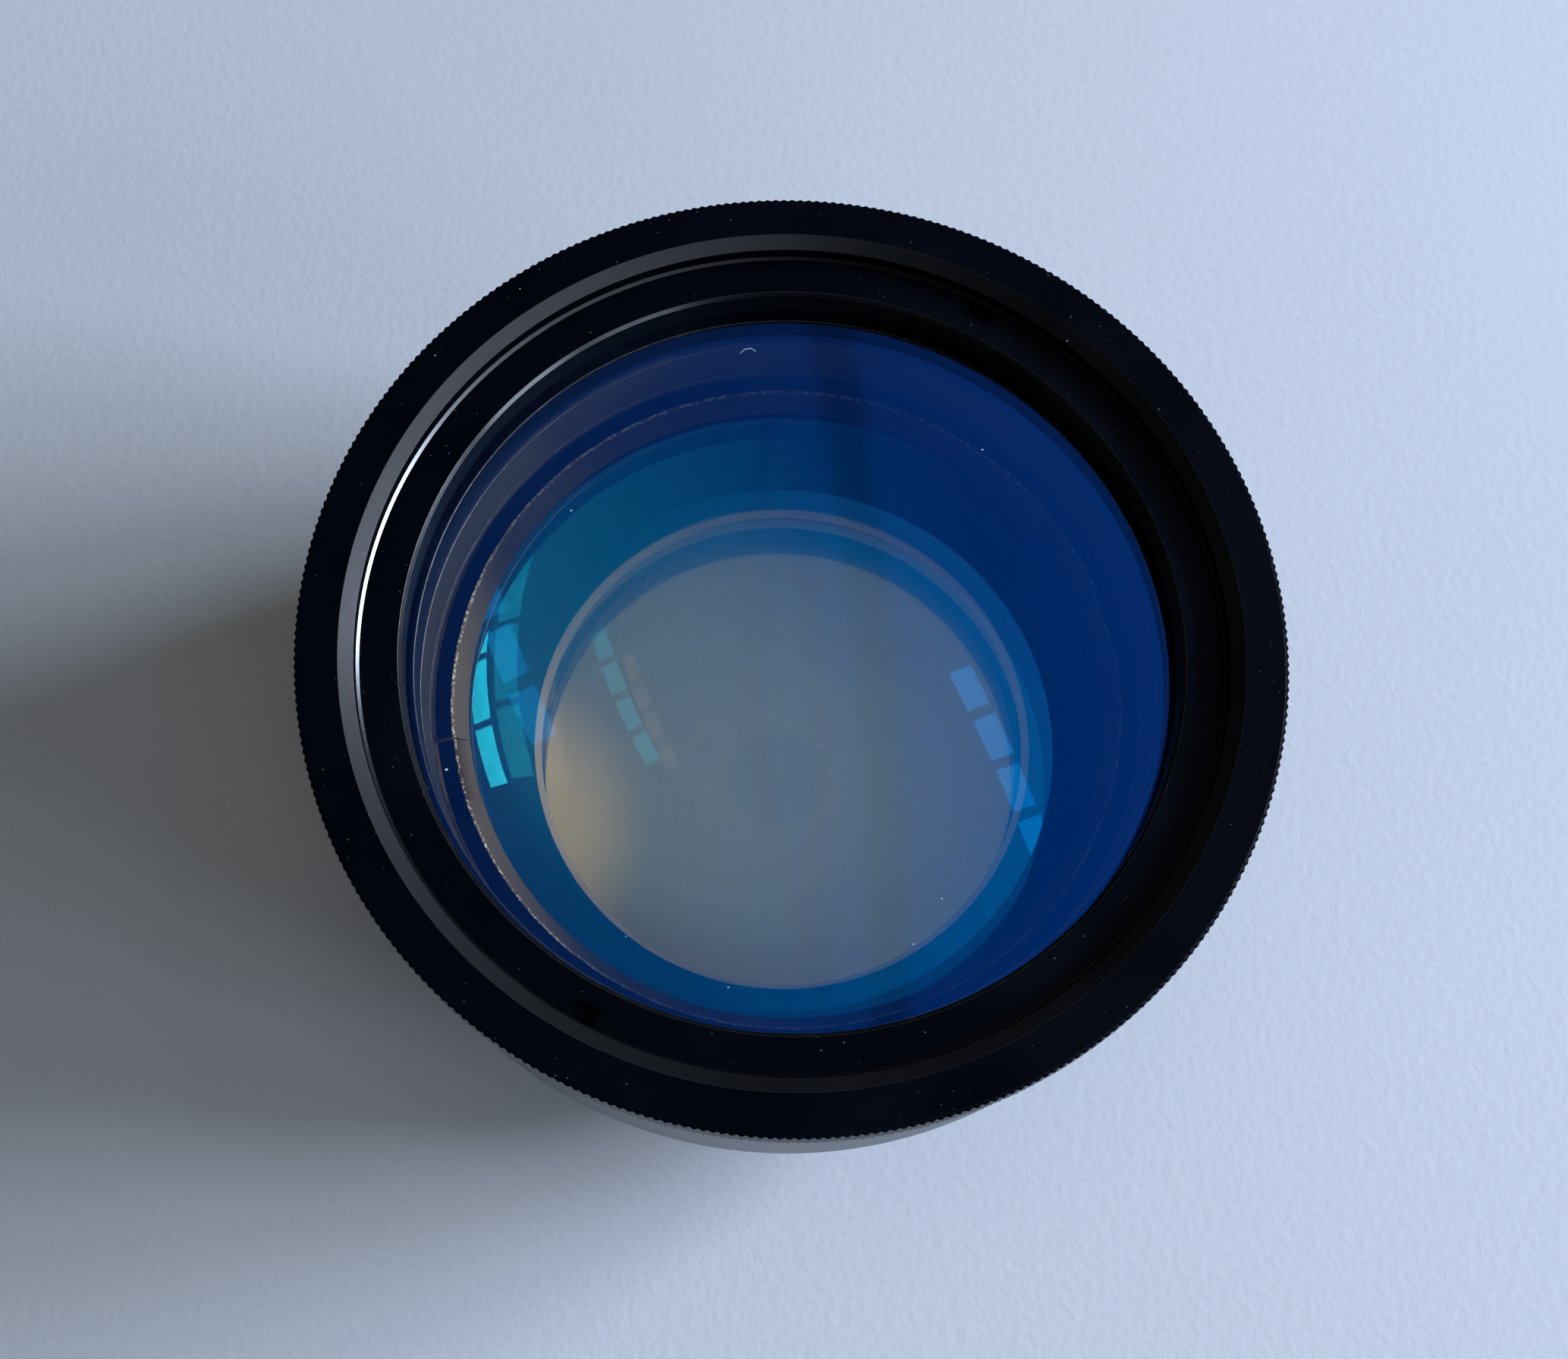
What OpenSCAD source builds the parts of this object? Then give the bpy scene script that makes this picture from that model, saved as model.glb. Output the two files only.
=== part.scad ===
// F theta scan lens for a galvanometer scan head, 1064 nm class.
// Three elements and a protective window in a black anodised aluminium barrel.
// Z runs along the optical axis. The entrance end, which faces the scan mirrors,
// stands on Z = 0 and the output end, with the window, points up.

/* [Barrel] */
// Major diameter of the mounting thread that screws into the scan head
mount_thread_d = 85; // [84:0.5:88]
// Height from the mounting shoulder down to the end of the thread
mount_thread_h = 8.8; // [7:0.2:9.4]
// Width of the run-out groove between the thread and the shoulder
relief_w = 1.2; // [0.8:0.1:2]
// Depth of the run-out groove
relief_depth = 0.9; // [0.7:0.1:1.2]
// How far the groove undercuts the face of the shoulder, so that the thread seats fully
undercut_h = 0.2; // [0.1:0.05:0.4]
// How far that undercut reaches out past the thread
undercut_w = 0.2; // [0.1:0.05:0.4]
// Width of the mounting shoulder, from the thread out to the smooth body
shoulder_w = 1.5; // [1.2:0.1:2.5]
// Height from the mounting shoulder up to the front face of the barrel
body_h = 20; // [16:0.5:21]
// Wall of the barrel round the thread of the front cell
body_wall = 2.5; // [2.2:0.1:3]
// Wall of the barrel round the large lenses
waist_wall = 3; // [2:0.1:4]
// Wall of the nose round the thread of the entrance lens ring
nose_wall = 4; // [3:0.1:5]
// Height of the straight part of the nose
nose_h = 8.6; // [7:0.2:9]
// Height of the cone between the nose and the waist
nose_cone_h = 3.6; // [3:0.2:4.4]
// Depth of the free bore between the exit lens ring and the front counterbore
tube_h = 6; // [4:0.2:9]
// Radial step from the thread of the exit lens ring out to that free bore
tube_step = 0.2; // [0.1:0.05:0.5]
// Gap under the end of the front cell
cell_gap = 1; // [0.5:0.1:2]

/* [Front cell] */
// How far the knurled head stands out past the body, to the tips of its teeth
head_overhang = 1; // [0.6:0.1:2]
// Height of the knurled head
head_h = 3.7; // [3:0.1:6]
// Wall between the thread on the skirt and the bore of the window ring
skirt_wall = 1.7; // [1.3:0.1:2.2]
// Length of the threaded part of the skirt
skirt_thread_h = 3.4; // [3:0.1:4]
// Length of the smooth pilot below the skirt thread
pilot_h = 3.9; // [3.4:0.1:5]
// Depth of the step from the skirt thread to the pilot
pilot_step = 0.5; // [0.4:0.1:0.6]
// Width of the lead-in chamfer at the mouth of the bore
lead_in_w = 1.3; // [0.6:0.1:2]
// Depth of that chamfer
lead_in_h = 0.6; // [0.4:0.1:1]
// Depth from the front face down to the face of the window ring
ring_recess = 2.3; // [1:0.1:3]
// Width of the ledge that carries the window
seat_w = 4.1; // [3.5:0.1:5]

/* [Window] */
// Radial step from the edge of the window out to the bore of its ring
window_step = 0.5; // [0.4:0.1:1]
// Thickness of the protective window
window_t = 2; // [1.5:0.1:3]
// Height of the window's pocket above the window
pocket_margin = 0.4; // [0.3:0.1:0.6]
// Width of the ring that holds the window
window_ring_w = 4; // [3:0.1:5]
// Height of the ring that holds the window
window_ring_h = 3; // [2.4:0.1:4]
// Bevel on the edges of the window and the lenses
glass_bevel = 0.3; // [0.15:0.05:0.5]

/* [Exit lens] */
// Diameter of the exit lens, the spacer and the middle lens
main_d = 68; // [66:0.5:72]
// Thickness of the exit lens at its centre
exit_t = 8.4; // [8:0.2:10]
// Radius of its convex front surface
exit_front_r = 150; // [130:5:220]
// Radius of its convex rear surface
exit_rear_r = 260; // [220:10:400]
// Radial step from the edge of the lens out to the thread of its ring
exit_ring_step = 1; // [0.6:0.1:1.5]
// How far that ring reaches over the glass
exit_ring_lip = 2.3; // [1.8:0.1:3]
// How far the inner wall of the ring opens out towards its upper edge
exit_ring_flare = 1.4; // [0.5:0.1:1.8]
// Height of the ring at its inner edge
exit_ring_h = 2.5; // [2:0.1:3.4]

/* [Middle lens] */
// Air gap between the exit lens and the middle lens, on the axis
front_gap = 0.7; // [0.3:0.1:2]
// Width of the spacer ring between them
spacer_w = 2.6; // [2:0.1:4]
// Thickness of the middle lens at its centre
middle_t = 12.4; // [11:0.2:14]
// Radius of its convex front surface
middle_front_r = 105; // [95:5:150]
// Radius of its convex rear surface
middle_rear_r = 260; // [220:10:400]
// Width of the seat under the middle lens
middle_seat_w = 3.5; // [2:0.1:5]

/* [Entrance lens] */
// Diameter of the entrance lens
entrance_d = 49; // [46:0.5:52]
// Thickness of the entrance lens at its centre
entrance_t = 2.5; // [2:0.1:4]
// Radius of its concave front surface
entrance_front_r = 130; // [110:5:200]
// Radius of its concave rear surface
entrance_rear_r = 90; // [80:5:140]
// Width of the flat ground rim round the front surface
front_rim_w = 1.8; // [1.5:0.1:3]
// Width of the flat ground rim round the rear surface
rear_rim_w = 1.8; // [1.5:0.1:4]
// How far the web of the barrel reaches over the front rim
web_overlap = 0.9; // [0.8:0.1:2]
// Height of the straight land at the edge of the web
web_land_h = 1; // [0.6:0.1:1.2]
// Height from the entrance lens seat up to where the middle lens bears
web_h = 2.4; // [2.2:0.1:4]
// Radial step from the edge of the lens out to the thread of its ring
entrance_ring_step = 0.5; // [0.4:0.1:1]
// How far that ring reaches over the glass
entrance_ring_lip = 2.7; // [2.5:0.1:4]
// How much wider its opening is on the side away from the glass
entrance_ring_flare = 1; // [0.6:0.1:1.5]
// Height of that ring
entrance_ring_h = 2.3; // [2:0.1:3]
// Depth from the end of the nose to that ring
entrance_recess = 2; // [0.2:0.1:3]

/* [Rings and seals] */
// Radial clearance of glass in its bore
glass_clearance = 0.05; // [0.02:0.01:0.1]
// Radial clearance of a pilot or a screw in its bore
fit_clearance = 0.05; // [0.02:0.01:0.1]
// Small chamfer on turned edges
edge_chamfer = 0.3; // [0.15:0.05:0.4]
// Thickness of the seal under the window, as fitted
window_seal_t = 1; // [0.8:0.1:1.4]
// Thickness of the seal round the pilot of the cell, as fitted
cell_seal_t = 1.3; // [1:0.1:1.5]
// How much wider a groove is than its seal
seal_play = 0.4; // [0.2:0.1:0.6]
// Width of the two spanner slots in the exit lens ring
exit_slot_w = 6.5; // [4:0.5:8]
// Width of the two spanner slots in the other rings
slot_w = 2.4; // [1.6:0.2:3.2]
// Depth of the spanner slots
slot_depth = 0.9; // [0.6:0.1:1.2]
// Direction of the spanner slots in the exit lens ring
exit_slot_angle = 200; // [0:1:359]
// Direction of the spanner slots in the window ring
window_slot_angle = 248; // [0:1:359]

/* [Lock screws] */
// Diameter of the grub screws that lock the cell in the barrel
screw_d = 2.5; // [2:0.1:2.6]
// Depth of the grub screws below the surface of the body
screw_sink = 0.3; // [0.1:0.05:0.5]
// Size across the flats of their hexagon sockets
socket_af = 1.3; // [0.9:0.1:1.3]
// Direction of the first grub screw
screw_angle = 90; // [0:5:355]

/* [Hidden] */
$fn = 180;

SCREW_COUNT = 3;
CONE_SHARE = 0.25;     // share of a grub screw's length that is its cone
SOCKET_SHARE = 0.45;   // share of it that is its socket
SKIN = 0.5;            // how far a cutting tool runs past the face that it cuts
LENS_FN = 300;         // the shallow spheres need more segments than a bore

BLACK = [0.03, 0.03, 0.035];
RUBBER = [0.06, 0.06, 0.06];
STEEL = [0.5, 0.5, 0.52];
COATED_GLASS = [0.1, 0.35, 0.6, 0.5];

// Height between the vertex of a sphere and its circle of radius x
function sag(radius, x) = radius - sqrt(radius * radius - x * x);
// Slope of a sphere at the circle of radius x
function slope(radius, x) = x / sqrt(radius * radius - x * x);

// Radii, stacked inwards from the mounting thread to the window
thread_r = mount_thread_d / 2;
relief_r = thread_r - relief_depth;
body_r = thread_r + shoulder_w;
head_r = body_r + head_overhang;
skirt_r = body_r - body_wall;
pilot_r = skirt_r - pilot_step;
pilot_bore_r = pilot_r + fit_clearance;
cell_bore_r = skirt_r - skirt_wall;
window_r = cell_bore_r - window_step;
window_pocket_r = window_r + glass_clearance;
window_clear_r = cell_bore_r - window_ring_w;
seat_inner_r = window_r - seat_w;
window_seal_r = (window_pocket_r + seat_inner_r) / 2;

// Radii, stacked outwards from the large lenses
main_r = main_d / 2;
main_bore_r = main_r + glass_clearance;
waist_r = main_r + waist_wall;
exit_ring_r = main_r + exit_ring_step;
exit_clear_r = main_r - exit_ring_lip;
tube_r = exit_ring_r + tube_step;
spacer_inner_r = main_r - spacer_w;

// Radii, stacked outwards from the entrance lens
entrance_r = entrance_d / 2;
entrance_bore_r = entrance_r + glass_clearance;
entrance_ring_r = entrance_r + entrance_ring_step;
entrance_clear_r = entrance_r - entrance_ring_lip;
nose_r = entrance_ring_r + nose_wall;
web_clear_r = entrance_r - web_overlap;

// Heights, stacked from the entrance end
entrance_back_z = entrance_recess + entrance_ring_h;
entrance_back_vertex_z = entrance_back_z + sag(entrance_rear_r, entrance_r - rear_rim_w);
entrance_front_vertex_z = entrance_back_vertex_z + entrance_t;
entrance_front_z = entrance_front_vertex_z + sag(entrance_front_r, entrance_r - front_rim_w);
middle_seat_z = entrance_front_z + web_h;
// The middle lens bears halfway across its seat, a cone tangent to its rear surface
middle_touch_r = main_r - middle_seat_w / 2;
middle_back_vertex_z = middle_seat_z - sag(middle_rear_r, middle_touch_r);
function middle_seat(x) = middle_seat_z + slope(middle_rear_r, middle_touch_r) * (x - middle_touch_r);
middle_front_vertex_z = middle_back_vertex_z + middle_t;
exit_back_vertex_z = middle_front_vertex_z + front_gap;
exit_front_vertex_z = exit_back_vertex_z + exit_t;
// The exit lens ring and the spacer bear on the glass halfway across their own faces
spacer_touch_r = (spacer_inner_r + main_r) / 2;
ring_touch_r = (exit_clear_r + main_r) / 2;
ring_touch_z = exit_front_vertex_z - sag(exit_front_r, ring_touch_r);
function exit_ring_seat(x) = ring_touch_z - slope(exit_front_r, ring_touch_r) * (x - ring_touch_r);
exit_ring_z = exit_ring_seat(exit_clear_r);
exit_ring_top_z = exit_ring_z + exit_ring_h;
exit_thread_z = exit_ring_seat(exit_ring_r) - edge_chamfer;
tube_z = exit_ring_top_z + edge_chamfer;
counterbore_z = tube_z + tube_h;
pilot_z = counterbore_z + cell_gap;
skirt_z = pilot_z + pilot_h;
front_z = skirt_z + skirt_thread_h;
total_z = front_z + head_h;
shoulder_z = front_z - body_h;
thread_end_z = shoulder_z - mount_thread_h;
window_ring_top_z = total_z - ring_recess;
window_top_z = window_ring_top_z - window_ring_h;
window_z = window_top_z - window_t;
pocket_top_z = window_top_z + pocket_margin;
cell_seal_z = pilot_z + pilot_h / 2;
screw_z = skirt_z + skirt_thread_h / 2;

// A turned part from its half section, listed as radius and height
module turned(section) {
    rotate_extrude(convexity = 10) polygon(section);
}

// A sphere by its radius and the height of its lowest or highest point
module dome_up(radius, vertex_z) {
    translate([0, 0, vertex_z - radius]) sphere(radius, $fn = LENS_FN);
}
module dome_down(radius, vertex_z) {
    translate([0, 0, vertex_z + radius]) sphere(radius, $fn = LENS_FN);
}

// A glass blank: its rim runs between the two rim heights, less a 45 degree bevel at
// each end, and the cones of the bevels run on to the lowest and the highest point
module blank(radius, low_z, low_rim_z, high_rim_z, high_z) {
    turned([[0, low_z],
            [radius - glass_bevel - (low_rim_z - low_z), low_z],
            [radius, low_rim_z + glass_bevel],
            [radius, high_rim_z - glass_bevel],
            [radius - glass_bevel - (high_z - high_rim_z), high_z],
            [0, high_z]]);
}

// Two opposite spanner slots cut from a face at height z, across radii low to high
module spanner_slots(low, high, z, width, depth) {
    for (side = [0, 180])
        rotate([0, 0, side])
            translate([low, -width / 2, z - depth]) cube([high - low, width, depth + SKIN]);
}

// Half section of the barrel: outside from the nose up, then inside back down
module barrel_blank() {
    turned([
        [entrance_ring_r + edge_chamfer, 0],
        [nose_r - edge_chamfer, 0],
        [nose_r, edge_chamfer],
        [nose_r, nose_h],
        [waist_r, nose_h + nose_cone_h],
        [waist_r, thread_end_z],
        [thread_r - 2 * edge_chamfer, thread_end_z],
        [thread_r, thread_end_z + 2 * edge_chamfer],
        [thread_r, shoulder_z - relief_w - edge_chamfer],
        [relief_r, shoulder_z - relief_w],
        [relief_r, shoulder_z + undercut_h],
        [thread_r + undercut_w, shoulder_z + undercut_h],
        [thread_r + undercut_w, shoulder_z],
        [body_r - edge_chamfer, shoulder_z],
        [body_r, shoulder_z + edge_chamfer],
        [body_r, front_z - edge_chamfer],
        [body_r - edge_chamfer, front_z],
        [skirt_r + edge_chamfer, front_z],
        [skirt_r, front_z - edge_chamfer],
        [skirt_r, skirt_z],
        [pilot_bore_r, skirt_z - pilot_step],
        [pilot_bore_r, counterbore_z],
        [tube_r, counterbore_z],
        [tube_r, tube_z],
        [exit_ring_r, tube_z],
        [exit_ring_r, exit_thread_z],
        [main_bore_r, exit_thread_z],
        [main_bore_r, middle_seat(main_bore_r)],
        [main_r - middle_seat_w, middle_seat(main_r - middle_seat_w)],
        [web_clear_r, entrance_front_z + web_land_h],
        [web_clear_r, entrance_front_z],
        [entrance_bore_r, entrance_front_z],
        [entrance_bore_r, entrance_back_z + edge_chamfer],
        [entrance_ring_r, entrance_back_z + edge_chamfer],
        [entrance_ring_r, edge_chamfer],
    ]);
}

// Places its children at one of the grub screws, with Z pointing outwards
module at_screw(index) {
    rotate([0, 0, screw_angle + index * 360 / SCREW_COUNT])
        translate([0, 0, screw_z]) rotate([0, 90, 0]) children();
}

module barrel() {
    color(BLACK) difference() {
        barrel_blank();
        for (index = [0 : SCREW_COUNT - 1])
            at_screw(index)
                translate([0, 0, skirt_r - SKIN])
                    cylinder(d = screw_d, h = body_wall + 2 * SKIN, $fn = 48);
    }
}

module front_cell() {
    groove_r = pilot_bore_r - cell_seal_t;
    groove_w = cell_seal_t + seal_play;
    seal_groove_w = window_seal_t + seal_play;
    color(BLACK) turned([
        [seat_inner_r, pilot_z],
        [pilot_r - edge_chamfer, pilot_z],
        [pilot_r, pilot_z + edge_chamfer],
        [pilot_r, cell_seal_z - groove_w / 2],
        [groove_r, cell_seal_z - groove_w / 2],
        [groove_r, cell_seal_z + groove_w / 2],
        [pilot_r, cell_seal_z + groove_w / 2],
        [pilot_r, skirt_z],
        [skirt_r, skirt_z + pilot_step],
        [skirt_r, front_z],
        [head_r - edge_chamfer, front_z],
        [head_r, front_z + edge_chamfer],
        [head_r, total_z - edge_chamfer],
        [head_r - edge_chamfer, total_z],
        [cell_bore_r + lead_in_w, total_z],
        [cell_bore_r, total_z - lead_in_h],
        [cell_bore_r, pocket_top_z],
        [window_pocket_r, pocket_top_z],
        [window_pocket_r, window_z],
        [window_seal_r + seal_groove_w / 2, window_z],
        [window_seal_r + seal_groove_w / 2, window_z - window_seal_t],
        [window_seal_r - seal_groove_w / 2, window_z - window_seal_t],
        [window_seal_r - seal_groove_w / 2, window_z],
        [seat_inner_r, window_z],
    ]);
}

module window_retaining_ring() {
    color(BLACK) difference() {
        turned([
            [window_clear_r, window_top_z],
            [window_r - edge_chamfer, window_top_z],
            [window_r, window_top_z + pocket_margin + edge_chamfer],
            [cell_bore_r, window_top_z + pocket_margin + edge_chamfer],
            [cell_bore_r, window_ring_top_z - edge_chamfer],
            [cell_bore_r - edge_chamfer, window_ring_top_z],
            [window_clear_r + edge_chamfer, window_ring_top_z],
            [window_clear_r, window_ring_top_z - edge_chamfer],
        ]);
        rotate([0, 0, window_slot_angle])
            spanner_slots((window_clear_r + cell_bore_r) / 2, cell_bore_r + SKIN,
                          window_ring_top_z, slot_w, slot_depth);
    }
}

module protective_window() {
    color(COATED_GLASS) blank(window_r, window_z, window_z, window_top_z, window_top_z);
}

// A rubber ring of round section
module seal_ring(radius, thickness, z) {
    color(RUBBER) rotate_extrude()
        translate([radius, z]) circle(d = thickness, $fn = 32);
}

module window_seal() {
    seal_ring(window_seal_r, window_seal_t, window_z - window_seal_t / 2);
}

module cell_seal() {
    seal_ring(pilot_bore_r - cell_seal_t / 2, cell_seal_t, cell_seal_z);
}

// Its lower face is a cone tangent to the front of the exit lens
module exit_lens_ring() {
    top_r = exit_clear_r + exit_ring_flare;
    color(BLACK) difference() {
        turned([
            [exit_clear_r, exit_ring_z],
            [exit_ring_r, exit_ring_seat(exit_ring_r)],
            [exit_ring_r, exit_ring_top_z - edge_chamfer],
            [exit_ring_r - edge_chamfer, exit_ring_top_z],
            [top_r + edge_chamfer, exit_ring_top_z],
            [top_r, exit_ring_top_z - edge_chamfer],
        ]);
        rotate([0, 0, exit_slot_angle])
            spanner_slots(exit_clear_r - SKIN, exit_ring_r + SKIN, exit_ring_top_z,
                          exit_slot_w, slot_depth);
    }
}

module exit_lens() {
    low_rim_z = exit_back_vertex_z + sag(exit_rear_r, main_r);
    high_rim_z = exit_front_vertex_z - sag(exit_front_r, main_r);
    color(COATED_GLASS) intersection() {
        blank(main_r, exit_back_vertex_z, low_rim_z, high_rim_z, exit_front_vertex_z);
        dome_up(exit_front_r, exit_front_vertex_z);
        dome_down(exit_rear_r, exit_back_vertex_z);
    }
}

// Both faces are cones, tangent to the glass above and below
module lens_spacer() {
    low_z = middle_front_vertex_z - sag(middle_front_r, spacer_touch_r);
    high_z = exit_back_vertex_z + sag(exit_rear_r, spacer_touch_r);
    function low(x) = low_z - slope(middle_front_r, spacer_touch_r) * (x - spacer_touch_r);
    function high(x) = high_z + slope(exit_rear_r, spacer_touch_r) * (x - spacer_touch_r);
    color(BLACK) turned([
        [spacer_inner_r, low(spacer_inner_r)],
        [main_r, low(main_r)],
        [main_r, high(main_r)],
        [spacer_inner_r, high(spacer_inner_r)],
    ]);
}

module middle_lens() {
    low_rim_z = middle_back_vertex_z + sag(middle_rear_r, main_r);
    high_rim_z = middle_front_vertex_z - sag(middle_front_r, main_r);
    color(COATED_GLASS) intersection() {
        blank(main_r, middle_back_vertex_z, low_rim_z, high_rim_z, middle_front_vertex_z);
        dome_up(middle_front_r, middle_front_vertex_z);
        dome_down(middle_rear_r, middle_back_vertex_z);
    }
}

// Both faces are hollow, each with a flat ground rim round the polished part
module entrance_lens() {
    color(COATED_GLASS) difference() {
        blank(entrance_r, entrance_back_z, entrance_back_z, entrance_front_z, entrance_front_z);
        dome_down(entrance_front_r, entrance_front_vertex_z);
        dome_up(entrance_rear_r, entrance_back_vertex_z);
    }
}

module entrance_lens_ring() {
    slot_start = (entrance_clear_r + entrance_ring_r) / 2;
    color(BLACK) difference() {
        turned([
            [entrance_clear_r + entrance_ring_flare, entrance_recess],
            [entrance_ring_r - edge_chamfer, entrance_recess],
            [entrance_ring_r, entrance_recess + edge_chamfer],
            [entrance_ring_r, entrance_back_z],
            [entrance_clear_r, entrance_back_z],
        ]);
        mirror([0, 0, 1])
            spanner_slots(slot_start, entrance_ring_r + SKIN, -entrance_recess, slot_w, slot_depth);
    }
}

// Hexagon socket grub screw with a cone at its tip
module grub_screw(index) {
    shank_r = screw_d / 2 - fit_clearance;
    tip_z = skirt_r + fit_clearance;
    screw_len = body_r - screw_sink - tip_z;
    cone_h = screw_len * CONE_SHARE;
    socket_h = screw_len * SOCKET_SHARE;
    color(STEEL) at_screw(index) difference() {
        translate([0, 0, tip_z]) union() {
            cylinder(r1 = shank_r - cone_h, r2 = shank_r, h = cone_h, $fn = 48);
            translate([0, 0, cone_h]) cylinder(r = shank_r, h = screw_len - cone_h, $fn = 48);
        }
        translate([0, 0, tip_z + screw_len - socket_h])
            cylinder(d = socket_af / cos(30), h = socket_h + SKIN, $fn = 6);
    }
}

module cell_lock_screw_1() { grub_screw(0); }
module cell_lock_screw_2() { grub_screw(1); }
module cell_lock_screw_3() { grub_screw(2); }

barrel();
front_cell();
window_retaining_ring();
protective_window();
window_seal();
cell_seal();
exit_lens_ring();
exit_lens();
lens_spacer();
middle_lens();
entrance_lens();
entrance_lens_ring();
cell_lock_screw_1();
cell_lock_screw_2();
cell_lock_screw_3();
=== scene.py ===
# %% [markdown]
# # An f theta scan lens in black anodised aluminium
#
# An f theta lens focuses a laser beam that two mirrors sweep. Its big end, with a window in a
# knurled head, faces the work, and its small end is screwed into the scan head. Nearly every
# piece is turned or ground, so nearly every mesh here is a half section swept round the axis.
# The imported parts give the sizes, and this script gives each piece its finish.

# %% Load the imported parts
import math
import random

import bpy
from mathutils import Matrix, Vector


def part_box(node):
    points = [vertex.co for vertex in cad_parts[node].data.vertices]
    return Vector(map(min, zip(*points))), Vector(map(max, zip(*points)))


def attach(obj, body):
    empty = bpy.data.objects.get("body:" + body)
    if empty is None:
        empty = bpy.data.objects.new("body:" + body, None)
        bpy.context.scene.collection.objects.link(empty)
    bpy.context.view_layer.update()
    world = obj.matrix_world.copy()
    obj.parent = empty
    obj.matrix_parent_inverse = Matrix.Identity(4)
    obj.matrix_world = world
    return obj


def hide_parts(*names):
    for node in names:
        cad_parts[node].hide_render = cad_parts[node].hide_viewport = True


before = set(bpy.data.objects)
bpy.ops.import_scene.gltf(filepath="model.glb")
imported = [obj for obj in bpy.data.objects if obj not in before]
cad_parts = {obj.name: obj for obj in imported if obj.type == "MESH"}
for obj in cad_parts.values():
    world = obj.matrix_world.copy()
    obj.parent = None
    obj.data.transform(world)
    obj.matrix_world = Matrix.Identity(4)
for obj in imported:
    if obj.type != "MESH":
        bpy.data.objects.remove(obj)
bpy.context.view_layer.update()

print("parts:", ", ".join(sorted(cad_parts)))

# %% [markdown]
# ## Sizes
#
# Sections are drawn in millimetres, as on a workshop drawing, and scaled to metres at the end.
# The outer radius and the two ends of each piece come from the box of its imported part. Only
# what a box can't tell, such as an inner radius or a curvature, is written here as a number.

# %% Read radii and heights from the parts
MM = 0.001


def outer(node):
    """Outer radius of a part, in mm."""
    return round(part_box(node)[1].x / MM, 2)


def ends(node):
    """Lowest and highest point of a part, in mm."""
    low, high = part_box(node)
    return low.z / MM, high.z / MM


total_z = ends("front_cell")[1]
front_z = ends("barrel")[1]
body_r = outer("barrel")
head_r = outer("front_cell")
print(f"head {2 * head_r:.1f} mm across, lens {total_z:.1f} mm tall")

# %% [markdown]
# ## The camera
#
# The camera looks steeply down on the big end, a little from the near side. It is turned by two given
# angles: first tilted away from straight down, then rolled about its own line of sight.

# %% Place the camera
FRAME_W = 2067
FOCAL_PX = 2600.0
SENSOR = 36.0
TILT = math.radians(18.7)
ROLL = math.radians(6.2)
EYE = Vector((-0.57, -61.39, total_z - 0.3 + 167.98))

camera_data = bpy.data.cameras.new("camera")
camera_data.sensor_width = SENSOR
camera_data.sensor_fit = "HORIZONTAL"
camera_data.lens = SENSOR * FOCAL_PX / FRAME_W
camera_data.clip_start = 0.005
camera = bpy.data.objects.new("camera", camera_data)
camera.matrix_world = (
    Matrix.Translation(EYE * MM)
    @ Matrix.Rotation(TILT, 4, "X")
    @ Matrix.Rotation(ROLL, 4, "Z")
)
bpy.context.scene.collection.objects.link(camera)
bpy.context.scene.camera = camera
print(f"lens of the camera: {camera_data.lens:.1f} mm")

# %% [markdown]
# ## Half sections with broken edges
#
# A turned edge is never razor sharp: the maker breaks it with a file, and that tiny round is
# what catches the light. So a section is a list of corners, each with a radius, and this helper
# replaces each corner by a few points on an arc. It keeps the direction that the surface faces
# at every point, because flat faces beside a round only look flat if their normals are exact.


# %% Round the corners of a half section
def towards(a, b):
    """Unit vector from a to b in the section."""
    d = Vector((b[0] - a[0], b[1] - a[1]))
    return d.normalized()


def rounded(corners, closed=True, steps=3):
    """Rows of a section from corners of (radius, height, edge radius).

    A row is (radius, height, facing radius, facing height, is a round).
    """
    rows = []
    count = len(corners)
    for i, (r, z, edge) in enumerate(corners):
        before = corners[i - 1] if closed or i > 0 else None
        after = corners[(i + 1) % count] if closed or i < count - 1 else None
        if before is None or after is None:
            d = towards(before or corners[i], after or corners[i])
            rows.append((r, z, d.y, -d.x, False))
            continue
        into, out = towards(before, (r, z)), towards((r, z), after)
        turn = into.angle(out, 0.0)
        if edge <= 0 or turn < 1e-4:
            mean = (into + out).normalized()
            rows.append((r, z, mean.y, -mean.x, False))
            continue
        room = 0.45 * min(math.dist(before[:2], (r, z)), math.dist(after[:2], (r, z)))
        reach = min(edge * math.tan(turn / 2), room)
        start, end = Vector((r, z)) - into * reach, Vector((r, z)) + out * reach
        for step in range(steps + 1):
            t = step / steps
            p = start * (1 - t) ** 2 + Vector((r, z)) * 2 * t * (1 - t) + end * t * t
            d = into.slerp(out, t) if turn < 3.1 else into
            rows.append((p.x, p.y, d.y, -d.x, step < steps))
    return rows


print("a broken corner has", len(rounded([(0, 0, 0), (1, 0, 0.1), (1, 1, 0)], closed=False)) - 2, "rows")

# %% [markdown]
# ## From section to mesh
#
# Blender's Screw modifier could sweep a section, but it can't give exact normals, a slot or a
# second material. A small mesh builder does it all: it joins columns of points into quads and
# stores the normal of each corner.


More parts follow.
